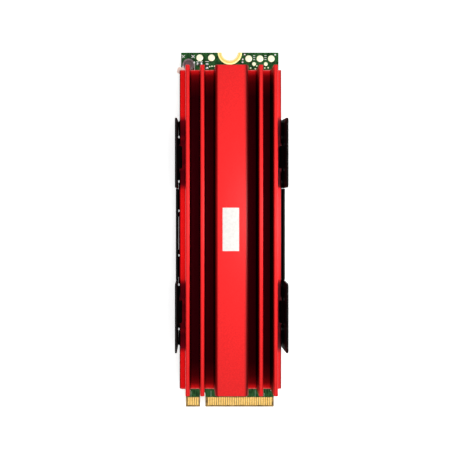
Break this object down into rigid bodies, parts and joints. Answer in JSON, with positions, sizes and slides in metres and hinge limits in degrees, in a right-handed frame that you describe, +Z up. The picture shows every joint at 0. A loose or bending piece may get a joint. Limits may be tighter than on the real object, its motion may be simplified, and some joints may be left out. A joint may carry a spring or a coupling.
{
  "type": "solid state drive",
  "caption": "Card-shaped solid state drive with a keyed edge connector, a finned red metal heatsink and a black sprung clip whose side latches hook over the heatsink's ledges.",
  "frame": {"origin": "centre of the drive's outline, on the flat underside of the clip's tray", "axes": "+Z up out of the heatsink's fins, +Y towards the mounting notch, -Y towards the card edge, +X to the right seen from above with the mounting notch at the far end"},
  "size_m": [0.0242, 0.08, 0.0113],
  "materials": {
    "board": "satin green solder mask",
    "gold": "gold plating",
    "chip": "moulded epoxy",
    "ferrite": "matt ferrite",
    "crystal": "satin lid",
    "capacitor": "fired ceramic with tinned ends",
    "bulk": "moulded ochre case",
    "resistor": "black glaze with tinned ends",
    "solder": "pale tinned copper",
    "thermal_pad": "soft matt silicone",
    "heatsink": "satin red anodising",
    "clip": "black coated spring steel",
    "label": "plain satin label"
  },
  "bodies": {
    "drive": {"circuit_board": "board", "mounting_ring": "gold", "contacts_top_long": "gold", "contacts_top_short": "gold", "contacts_bottom_long": "gold", "contacts_bottom_short": "gold", "controller_chip": "chip", "dram_chip": "chip", "nand_chip_top_a": "chip", "nand_chip_top_b": "chip", "nand_chip_bottom_a": "chip", "nand_chip_bottom_b": "chip", "power_chip": "chip", "regulator_chip": "chip", "settings_chip": "chip", "power_inductor": "ferrite", "coil_a": "ferrite", "coil_b": "ferrite", "clock_crystal": "crystal", "capacitor_1": "capacitor", "capacitor_2": "capacitor", "capacitor_3": "capacitor", "capacitor_4": "capacitor", "capacitor_5": "capacitor", "capacitor_6": "capacitor", "capacitor_7": "capacitor", "capacitor_8": "capacitor", "capacitor_9": "capacitor", "capacitor_10": "capacitor", "capacitor_11": "capacitor", "capacitor_12": "capacitor", "bulk_capacitor_a": "bulk", "bulk_capacitor_b": "bulk", "resistor_1": "resistor", "resistor_2": "resistor", "resistor_3": "resistor", "resistor_4": "resistor", "resistor_5": "resistor", "resistor_6": "resistor", "test_pad_1": "solder", "test_pad_2": "solder", "test_pad_3": "solder", "test_pad_4": "solder", "test_pad_5": "solder", "test_pad_6": "solder", "test_pad_7": "solder", "thermal_pad_top": "thermal_pad", "thermal_pad_bottom": "thermal_pad", "heatsink": "heatsink", "clip_tray": "clip", "plain_label": "label"},
    "latch_left_notch_end": {"latch_left_notch_end": "clip"},
    "latch_left_edge_end": {"latch_left_edge_end": "clip"},
    "latch_right_notch_end": {"latch_right_notch_end": "clip"},
    "latch_right_edge_end": {"latch_right_edge_end": "clip"}
  },
  "joints": [
    {"name": "latch_left_notch_end_hinge", "type": "hinge", "parent": "drive", "child": "latch_left_notch_end", "pos_m": [-0.0119, 0.0161, 0.0002], "axis": [0, -1, 0], "range_deg": [0, 6], "stiffness_Nm_per_rad": 0.5},
    {"name": "latch_left_edge_end_hinge", "type": "hinge", "parent": "drive", "child": "latch_left_edge_end", "pos_m": [-0.0119, -0.0179, 0.0002], "axis": [0, -1, 0], "range_deg": [0, 6], "stiffness_Nm_per_rad": 0.5},
    {"name": "latch_right_notch_end_hinge", "type": "hinge", "parent": "drive", "child": "latch_right_notch_end", "pos_m": [0.0119, 0.0161, 0.0002], "axis": [0, 1, 0], "range_deg": [0, 6], "stiffness_Nm_per_rad": 0.5},
    {"name": "latch_right_edge_end_hinge", "type": "hinge", "parent": "drive", "child": "latch_right_edge_end", "pos_m": [0.0119, -0.0179, 0.0002], "axis": [0, 1, 0], "range_deg": [0, 6], "stiffness_Nm_per_rad": 0.5}
  ]
}
